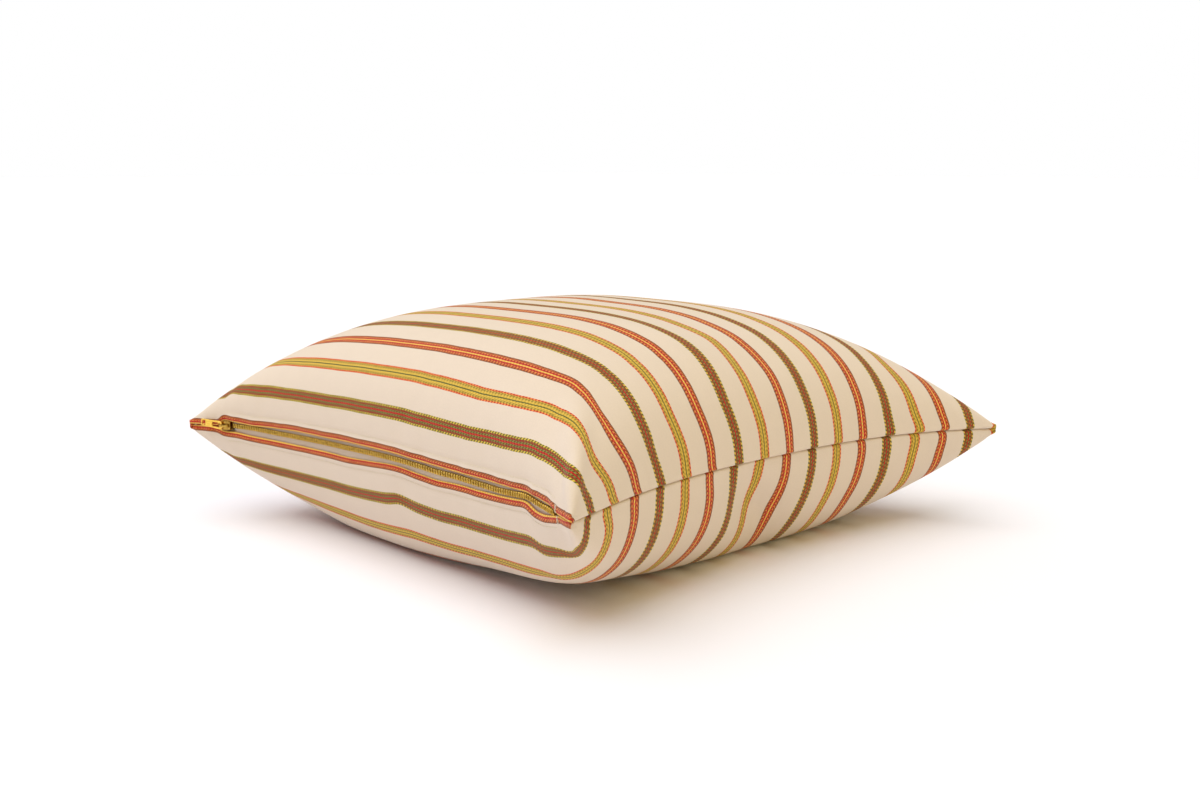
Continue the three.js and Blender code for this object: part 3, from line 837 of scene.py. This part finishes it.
def fine_path(path, steps=4):
    """A path smoothed by a curve through its points."""
    path = np.array(path, float)
    fine = np.linspace(0, len(path) - 1, (len(path) - 1) * steps + 1)
    low = np.clip(fine.astype(int), 0, len(path) - 2)
    share = (fine - low)[:, None]
    slope = np.gradient(path, axis=0)
    bend = slope[low] * share * (1 - share) ** 2 - slope[low + 1] * share**2 * (1 - share)
    return path[low] + (path[low + 1] - path[low]) * smooth(share) + bend


def join(name, meshes, material, place):
    """One object from several meshes, placed by a matrix."""
    build = bmesh.new()
    for mesh in meshes:
        build.from_mesh(mesh)
        bpy.data.meshes.remove(mesh)
    merged = bpy.data.meshes.new(name)
    build.to_mesh(merged)
    build.free()
    merged.transform(place)
    merged.shade_smooth()
    merged.materials.append(material)
    piece = bpy.data.objects.new(name, merged)
    scene.collection.objects.link(piece)
    return piece


def placed(x, y, z, origin):
    """A matrix from millimetre axes and an origin in millimetres."""
    matrix = Matrix([list(row) for row in np.column_stack([x, y, z])]).to_4x4()
    matrix.translation = Vector(origin) * MM
    return matrix


def make_slider(material):
    """The slider: its two shields with their rims, the core between them and the bridge."""
    shield = rounded(mirrored(SHIELD_HALF), radius=1.6)
    core = rounded(mirrored(CORE_HALF), radius=0.6)
    core_deep = SLIDER_DEEP + SLIDER_OUTER - 2 * CORE_INSET
    meshes = [
        plate([shield], SLIDER_OUTER - PLATE_THICK, PLATE_THICK, PLATE_BEVEL),
        plate([shield], -SLIDER_DEEP, PLATE_THICK, PLATE_BEVEL),
        bar_along(fine_path(BRIDGE_PATH), BRIDGE_WIDTH, BRIDGE_THICK),
        plate([core], CORE_INSET - SLIDER_DEEP, core_deep, bevel=0.1),
    ]
    for side in (-1, 1):
        rim = rounded([(x, y * side) for x, y in RIM[::side]], radius=0.35, steps=3)
        for bottom in (SLIDER_OUTER - RIM_DEEP, -SLIDER_DEEP):
            meshes.append(plate([rim], bottom, RIM_DEEP, bevel=0.2))
    middle_along = SLIDER_FROM + SLIDER_LENGTH / 2
    _, t, n, v = (row[0] for row in zip_frames(middle_along))
    start = zip_points(middle_along, 0, 0)[0] - t * SLIDER_LENGTH / 2
    return join("slider", meshes, material, placed(t, v, n, start))


def make_pull(material):
    """The pull, from its bar under the bridge: an eye, a plate and a loop at its free end."""
    edge = rounded(mirrored(PULL_HALF), radius=1.3)
    eye = rounded(mirrored(PULL_EYE_HALF), radius=1.4)
    loop = rounded(mirrored(PULL_LOOP_HALF), radius=1.1)
    mesh = plate([edge, eye, loop], -PULL_THICK / 2, PULL_THICK, bevel=0.3)
    pivot_out = (SLIDER_OUTER + BRIDGE_TOP - BRIDGE_THICK / 2) / 2
    pivot_along = SLIDER_FROM + PULL_PIVOT
    pivot = zip_points(pivot_along, pivot_out, 0)[0]
    end_along = pivot_along - PULL_LENGTH + PULL_BAR / 2
    end = zip_points(end_along, PULL_END_OUT, PULL_END_UP)[0]
    x = unit(pivot - end)
    y = unit(np.cross(zip_frames(pivot_along)[2][0], x))
    return join("pull", [mesh], material, placed(x, y, np.cross(x, y), pivot + x * PULL_BAR / 2))


class Shader:
    """Builds one material's nodes, a call for each node."""

    def __init__(self, name):
        self.material = bpy.data.materials.new(name)
        self.material.use_nodes = True
        self.tree = self.material.node_tree
        self.bsdf = self.tree.nodes["Principled BSDF"]

    def feed(self, socket, value):
        if isinstance(value, bpy.types.NodeSocket):
            self.tree.links.new(value, socket)
        else:
            socket.default_value = value

    def node(self, kind, inputs=(), **settings):
        made = self.tree.nodes.new(kind)
        for key, value in settings.items():
            setattr(made, key, value)
        for key, value in dict(inputs).items():
            self.feed(made.inputs[key], value)
        return made

    def set(self, **values):
        for key, value in values.items():
            self.feed(self.bsdf.inputs[key.replace("_", " ")], value)

    def math(self, operation, *values):
        return self.node("ShaderNodeMath", enumerate(values), operation=operation).outputs[0]

    def mix(self, share, first, second, kind="MIX"):
        made = self.node("ShaderNodeMix", data_type="RGBA", blend_type=kind)
        for key, value in (("Factor", share), ("A", first), ("B", second)):
            self.feed([s for s in made.inputs if s.name == key and s.enabled][0], value)
        return [s for s in made.outputs if s.enabled][0]

    def noise(self, place, scale, detail=2, roughness=0.5):
        inputs = {"Vector": place, "Scale": scale, "Detail": detail, "Roughness": roughness}
        return self.node("ShaderNodeTexNoise", inputs).outputs[0]

    def bump(self, height, strength, distance):
        inputs = {"Height": height, "Strength": strength, "Distance": distance}
        return self.node("ShaderNodeBump", inputs).outputs[0]

    def ease(self, value, low, high, top=1):
        """A smooth rise from 0 to the top, while the value goes from low to high."""
        inputs = {"Value": value, "From Min": low, "From Max": high, "To Max": top}
        return self.node("ShaderNodeMapRange", inputs, interpolation_type="SMOOTHSTEP").outputs[0]

    def bands(self, place, stops):
        """A ramp without blends between its stops."""
        made = self.node("ShaderNodeValToRGB", {0: place})
        ramp = made.color_ramp
        ramp.interpolation = "CONSTANT"
        while len(ramp.elements) < len(stops):
            ramp.elements.new(0.5)
        for element, (position, color) in zip(ramp.elements, stops):
            element.position = position
            element.color = color
        return made.outputs


def rgb(*values):
    """A linear colour from the usual 0 to 255 values."""
    shares = [value / 255 for value in values]
    return (*(s / 12.92 if s <= 0.04045 else ((s + 0.055) / 1.055) ** 2.4 for s in shares), 1)


GROUND = rgb(222, 205, 187)

# Stripes: bands from edge to middle, each with its width in millimetres, the colours of the floats on top
# and of the yarn between them, and how far on the floats start, as a share of their pitch
STRIPES = {
    "red": [
        (0.75, rgb(169, 94, 42), rgb(88, 50, 15), 0),
        (0.9, rgb(197, 111, 49), rgb(153, 56, 21), 0.3),
        (0.9, rgb(228, 143, 67), rgb(164, 43, 19), 0.5),
        (1.3, rgb(206, 61, 33), rgb(156, 12, 7), 0.1),
        (0.6, rgb(238, 203, 94), rgb(224, 165, 68), 0.6),
    ],
    "olive": [
        (1.4, rgb(218, 188, 70), rgb(101, 93, 23), 0),
        (1.2, rgb(131, 83, 29), rgb(151, 23, 8), 0.5),
        (1.3, rgb(133, 134, 53), rgb(102, 68, 19), 0),
        (0.6, rgb(207, 33, 18), rgb(156, 26, 9), 0.5),
    ],
    "yellow": [
        (1.25, rgb(238, 142, 68), rgb(182, 30, 13), 0),
        (1.5, rgb(204, 168, 64), rgb(142, 120, 35), 0.4),
        (1.45, rgb(222, 185, 72), rgb(196, 160, 50), 0.1),
        (0.45, rgb(102, 103, 43), rgb(66, 71, 23), 0.5),
    ],
}
STRIPE_ORDER = ["red", "olive", "yellow"]

# Floats: how far they reach from a stripe's middle, their pitch and slant, the heights of a wave between
# which they rise, their relief in metres, and how far their tone varies along a stripe and across it
STRIPE_HALF = 4.5
FLOAT_PITCH = 2.7
TWILL_SLANT = 0.15
FLOAT_FROM = -0.35
FLOAT_FULL = 0.25
FLOAT_HEIGHT = 0.00025
YARN_ROW = 1.1
FLOAT_SPREAD = 0.9

# Ground: how fine the cloth's grain and its slubs are, and how far they vary its tone
GRAIN_SCALE = 900
GRAIN_SHARE = 0.12
GRAIN_HEIGHT = 0.5
SLUB_SCALE = 90
SLUB_SHARE = 0.04


def stripe_stops(bands, value):
    """Stops over half a stripe and the ground beside it, from 0 at the edge of the stripe."""
    half = STRIPE_PITCH / 2
    place = half - sum(band[0] for band in bands)
    stops = [(0, GROUND)]
    for band in bands:
        stops.append((place / half, value(band)))
        place += band[0]
    return stops


def striped_cloth():
    s = Shader("striped_cloth")
    uv = s.node("ShaderNodeUVMap", uv_map="cloth").outputs[0]
    parts = s.node("ShaderNodeSeparateXYZ", {0: uv}).outputs
    u = s.math("MULTIPLY", parts[0], 1 / MM)
    v = s.math("MULTIPLY", parts[1], 1 / MM)
    turns = s.math("ADD", s.math("DIVIDE", v, STRIPE_PITCH), 0.5)
    kind = s.math("FLOORED_MODULO", s.math("FLOOR", turns), len(STRIPE_ORDER))
    inside = s.math("SUBTRACT", s.math("FRACT", turns), 0.5)
    place = s.math("SUBTRACT", 1, s.math("MULTIPLY", s.math("ABSOLUTE", inside), 2))
    slant = s.math("SUBTRACT", s.math("DIVIDE", u, FLOAT_PITCH), s.math("MULTIPLY", v, TWILL_SLANT))
    row = s.math("FLOOR", s.math("DIVIDE", v, YARN_ROW))
    color, height = None, None
    for number, name in enumerate(STRIPE_ORDER):
        over = s.bands(place, stripe_stops(STRIPES[name], lambda band: band[1]))
        between = s.bands(place, stripe_stops(STRIPES[name], lambda band: (*band[2][:3], band[3])))
        phase = s.math("ADD", slant, between["Alpha"])
        wave = s.math("SINE", s.math("MULTIPLY", phase, 2 * math.pi))
        column = s.math("FLOOR", s.math("ADD", phase, 0.25))
        cell = s.node("ShaderNodeCombineXYZ", {0: column, 1: row}).outputs[0]
        tone = s.node("ShaderNodeTexWhiteNoise", {"Vector": cell}, noise_dimensions="2D").outputs[0]
        tone = s.math("MULTIPLY_ADD", tone, FLOAT_SPREAD, 1 - FLOAT_SPREAD / 2)
        floats = s.math("MULTIPLY", s.ease(wave, FLOAT_FROM, FLOAT_FULL), tone)
        floats = s.math("MINIMUM", floats, 1)
        own = s.mix(floats, between["Color"], over["Color"])
        if color is None:
            color, height = own, floats
        else:
            chosen = s.math("COMPARE", kind, number, 0.5)
            color = s.mix(chosen, color, own)
            others = s.math("MULTIPLY", height, s.math("SUBTRACT", 1, chosen))
            height = s.math("ADD", others, s.math("MULTIPLY", floats, chosen))
    in_stripe = s.math("GREATER_THAN", place, 1 - 2 * STRIPE_HALF / STRIPE_PITCH)
    grain = s.noise(uv, GRAIN_SCALE, detail=3, roughness=0.6)
    slub = s.noise(uv, SLUB_SCALE)
    shade = s.math("ADD", s.math("MULTIPLY", grain, GRAIN_SHARE), s.math("MULTIPLY", slub, SLUB_SHARE))
    shade = s.math("ADD", shade, 1 - (GRAIN_SHARE + SLUB_SHARE) / 2)
    shade = s.node("ShaderNodeCombineXYZ", {0: shade, 1: shade, 2: shade}).outputs[0]
    color = s.mix(1, color, shade, "MULTIPLY")
    relief = s.math("MULTIPLY", height, in_stripe)
    relief = s.math("ADD", relief, s.math("MULTIPLY", grain, GRAIN_HEIGHT))
    s.set(Base_Color=color, Normal=s.bump(relief, 0.5, FLOAT_HEIGHT))
    s.set(Roughness=0.85, Specular_IOR_Level=0.25, Sheen_Weight=0.15, Sheen_Roughness=0.5)
    return s.material


# Thread, tape and brass: how fine their noise is, the tape's ribs, picks and the painted shade on its
# edge under the chain in millimetres, and the relief in metres
THREAD_SCALE = 2600
TAPE_RIB = 0.85
TAPE_WALE = 0.55
TAPE_RELIEF = 0.00012
CHAIN_SHADE_FROM = 1
CHAIN_SHADE_TO = 1.6
BRASS_STAIN_SCALE = 900
BRASS_WEAR_SCALE = 3500
BRASS_RELIEF = 0.00002


def thread(name, light, dark):
    """Sewing thread: fine fibres across its tone, and a soft sheen."""
    s = Shader(name)
    place = s.node("ShaderNodeTexCoord").outputs["Object"]
    fibres = s.noise(place, THREAD_SCALE)
    s.set(Base_Color=s.mix(fibres, dark, light), Normal=s.bump(fibres, 0.4, TAPE_RELIEF))
    s.set(Roughness=0.7, Sheen_Weight=0.3)
    return s.material


def woven_tape(name, light, dark, stain_and_shade):
    """Zip tape: ribs crossed by finer picks, uneven in tone, with painted shade along its edge under the
    teeth.
    """
    s = Shader(name)
    uv = s.node("ShaderNodeUVMap", uv_map="cloth").outputs[0]
    parts = s.node("ShaderNodeSeparateXYZ", {0: uv}).outputs
    ribs = s.math("SINE", s.math("MULTIPLY", parts[1], 2 * math.pi / (TAPE_RIB * MM)))
    picks = s.math("SINE", s.math("MULTIPLY", parts[0], 2 * math.pi / (TAPE_WALE * MM)))
    weave = s.math("MULTIPLY_ADD", s.math("MULTIPLY", ribs, picks), 0.3, 0.5)
    share = s.math("MULTIPLY_ADD", s.noise(uv, GRAIN_SCALE, 3), 0.6, s.math("MULTIPLY", weave, 0.5))
    reach = s.math("ABSOLUTE", parts[1])
    # Painted shade: the tape's inner edge under the teeth is darkened to the shade colour
    unshaded = s.ease(reach, CHAIN_SHADE_FROM * MM, CHAIN_SHADE_TO * MM)
    s.set(Base_Color=s.mix(unshaded, stain_and_shade, s.mix(share, dark, light)))
    s.set(Roughness=0.9, Sheen_Weight=0.1, Normal=s.bump(weave, 0.6, TAPE_RELIEF))
    return s.material


def brass(name, bright, stain_and_shade, smoothest, roughest, stain_share):
    """Brass with stains in patches, and fine wear in its shine."""
    s = Shader(name)
    place = s.node("ShaderNodeTexCoord").outputs["Object"]
    patches = s.ease(s.noise(place, BRASS_STAIN_SCALE, 4), 0.4, 0.65, stain_share)
    wear = s.noise(place, BRASS_WEAR_SCALE, 3)
    rough = s.math("MULTIPLY_ADD", wear, roughest - smoothest, smoothest)
    s.set(Base_Color=s.mix(patches, bright, stain_and_shade), Metallic=1, Roughness=rough)
    s.set(Normal=s.bump(wear, 0.3, BRASS_RELIEF))
    return s.material


# Floor: a little under the cushion, and far wider than any view
FLOOR_DROP = 0.3
FLOOR_HALF = 20000
FLOOR_COLOR = rgb(246, 244, 250)

# Lights far off and wide, so that the floor is evenly bright, with their places and widths in degrees
LIGHTS = {
    "overhead": {"azimuth": -20, "elevation": 75, "angle": 72, "strength": 2.3, "color": (1, 1, 1)},
    "left": {"azimuth": -70, "elevation": 20, "angle": 90, "strength": 0.75, "color": (1, 0.98, 0.99)},
    "right": {"azimuth": 95, "elevation": 20, "angle": 90, "strength": 0.85, "color": (1, 0.74, 0.05)},
}
AMBIENT = 0.3


def make_floor():
    corners = [(-1, -1), (1, -1), (1, 1), (-1, 1)]
    points = [(x * FLOOR_HALF, y * FLOOR_HALF, -FLOOR_DROP) for x, y in corners]
    s = Shader("floor")
    s.set(Base_Color=FLOOR_COLOR, Roughness=0.9)
    floor = mesh_piece("floor", points, [(0, 1, 2, 3)], s.material)


def make_lights():
    for name, row in LIGHTS.items():
        data = bpy.data.lights.new(name, "SUN")
        data.energy = row["strength"]
        data.angle = math.radians(row["angle"])
        data.color = row["color"]
        light = bpy.data.objects.new(name, data)
        light.location = direction(row["azimuth"], row["elevation"])
        light.rotation_euler = light.location.to_track_quat("Z", "Y").to_euler()
        scene.collection.objects.link(light)


def make_world():
    """Faint light from all around, with a white backdrop for the camera."""
    world = bpy.data.worlds.new("studio")
    world.use_nodes = True
    nodes = world.node_tree.nodes
    link = world.node_tree.links.new
    surround = nodes["Background"]
    surround.inputs[1].default_value = AMBIENT
    backdrop = nodes.new("ShaderNodeBackground")
    for background in (surround, backdrop):
        background.inputs[0].default_value = (1, 1, 1, 1)
    choose = nodes.new("ShaderNodeMixShader")
    link(nodes.new("ShaderNodeLightPath").outputs["Is Camera Ray"], choose.inputs[0])
    link(surround.outputs[0], choose.inputs[1])
    link(backdrop.outputs[0], choose.inputs[2])
    link(choose.outputs[0], nodes["World Output"].inputs[0])
    scene.world = world
    scene.view_settings.view_transform = "Standard"


make_camera()
cushion = make_cushion(striped_cloth())
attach(cushion, "root")
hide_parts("cushion")

# The tape's third colour is painted shade, for its edge under the teeth
tape_cloth = woven_tape("zip_tape", rgb(216, 198, 180), rgb(186, 166, 146), rgb(96, 78, 38))
teeth_brass = brass("teeth_brass", rgb(228, 194, 96), rgb(160, 126, 56), 0.2, 0.45, stain_share=0.7)
stitch_thread = thread("sewing_thread", rgb(238, 226, 202), rgb(206, 190, 160))
for side, row in ((1, "upper"), (-1, "lower")):
    tape = make_tape(side, tape_cloth)
    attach(tape, "root")
    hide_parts(f"zip_tape_{row}")
    teeth = make_teeth(side, teeth_brass)
    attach(teeth, "root")
    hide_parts(f"zip_teeth_{row}")
    sewing = make_topstitches(side, stitch_thread)
    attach(sewing, "root")
tack = make_bar_tack(stitch_thread)
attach(tack, "root")
slider_brass = brass("slider_brass", rgb(200, 160, 74), rgb(120, 92, 38), 0.15, 0.35, stain_share=0.7)
pull_brass = brass("pull_brass", rgb(252, 210, 98), rgb(214, 168, 64), 0.18, 0.36, stain_share=0.6)
for piece, node, slot in (
    (make_slider(slider_brass), "zip_slider", "slider_brass"),
    (make_pull(pull_brass), "zip_pull", "slider_brass"),
):
    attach(piece, "root")
    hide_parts(node)
make_floor()
make_lights()
make_world()
